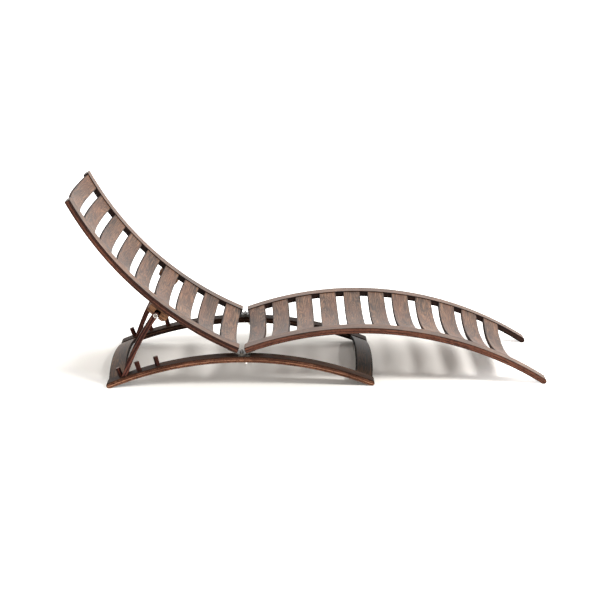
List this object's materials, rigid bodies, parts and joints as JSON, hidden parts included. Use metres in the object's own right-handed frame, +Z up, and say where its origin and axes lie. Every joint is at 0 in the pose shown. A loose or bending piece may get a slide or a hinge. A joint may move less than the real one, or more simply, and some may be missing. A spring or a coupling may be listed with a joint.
{
  "type": "folding slatted lounger",
  "caption": "Reclining wooden lounger: an arched slatted seat and a hinged slatted backrest on a bowed base, the backrest propped by pivoting struts behind pegs.",
  "frame": {"origin": "middle of the bounding box at floor level, on the lounger's middle plane", "axes": "+X from the head end to the foot end, +Y towards the sitter's left side, +Z up"},
  "size_m": [1.8606, 0.65, 0.7486],
  "materials": {
    "rail_wood": "oiled",
    "slat_wood": "oiled",
    "strut_wood": "oiled",
    "block_wood": "oiled",
    "peg_wood": "oiled",
    "bright_steel": "polished",
    "hinge_steel": "brushed"
  },
  "bodies": {
    "base_and_seat": {"right_seat_rail": "rail_wood", "right_base_rail": "rail_wood", "left_seat_rail": "rail_wood", "left_base_rail": "rail_wood", "seat_slat_1": "slat_wood", "seat_slat_2": "slat_wood", "seat_slat_3": "slat_wood", "seat_slat_4": "slat_wood", "seat_slat_5": "slat_wood", "seat_slat_6": "slat_wood", "seat_slat_7": "slat_wood", "seat_slat_8": "slat_wood", "seat_slat_9": "slat_wood", "seat_slat_10": "slat_wood", "seat_slat_11": "slat_wood", "head_cross_slat": "slat_wood", "foot_cross_slat": "slat_wood", "right_peg_1": "peg_wood", "right_peg_2": "peg_wood", "right_peg_3": "peg_wood", "right_seat_hinge_leaf": "hinge_steel", "right_hinge_pin": "bright_steel", "right_hinge_stud": "bright_steel", "left_peg_1": "peg_wood", "left_peg_2": "peg_wood", "left_peg_3": "peg_wood", "left_seat_hinge_leaf": "hinge_steel", "left_hinge_pin": "bright_steel", "left_hinge_stud": "bright_steel", "stud_washers": "bright_steel", "cap_nuts": "bright_steel", "seat_leaf_screws": "bright_steel"},
    "backrest": {"right_back_rail": "rail_wood", "left_back_rail": "rail_wood", "back_slat_1": "slat_wood", "back_slat_2": "slat_wood", "back_slat_3": "slat_wood", "back_slat_4": "slat_wood", "back_slat_5": "slat_wood", "back_slat_6": "slat_wood", "back_slat_7": "slat_wood", "back_slat_8": "slat_wood", "back_slat_9": "slat_wood", "right_pivot_block": "block_wood", "right_strut_bolt": "bright_steel", "right_back_hinge_leaf": "hinge_steel", "left_pivot_block": "block_wood", "left_strut_bolt": "bright_steel", "left_back_hinge_leaf": "hinge_steel", "strut_washers": "bright_steel", "strut_nuts": "bright_steel", "back_leaf_screws": "bright_steel", "block_screws": "bright_steel"},
    "right_prop": {"right_strut": "strut_wood"},
    "left_prop": {"left_strut": "strut_wood"}
  },
  "joints": [
    {"name": "back_hinge", "type": "hinge", "parent": "base_and_seat", "child": "backrest", "pos_m": [-0.258, 0, 0.13147], "axis": [0, 1, 0], "range_deg": [0, 30]},
    {"name": "right_strut_pivot", "type": "hinge", "parent": "backrest", "child": "right_prop", "pos_m": [-0.58656, -0.2945, 0.28877], "axis": [0, 1, 0], "range_deg": [-30, 0]},
    {"name": "left_strut_pivot", "type": "hinge", "parent": "backrest", "child": "left_prop", "pos_m": [-0.58656, 0.2945, 0.28877], "axis": [0, 1, 0], "range_deg": [-30, 0]}
  ],
  "couplings": [
    {"joint": "right_strut_pivot", "follows": "back_hinge", "ratio": -1},
    {"joint": "left_strut_pivot", "follows": "back_hinge", "ratio": -1}
  ]
}
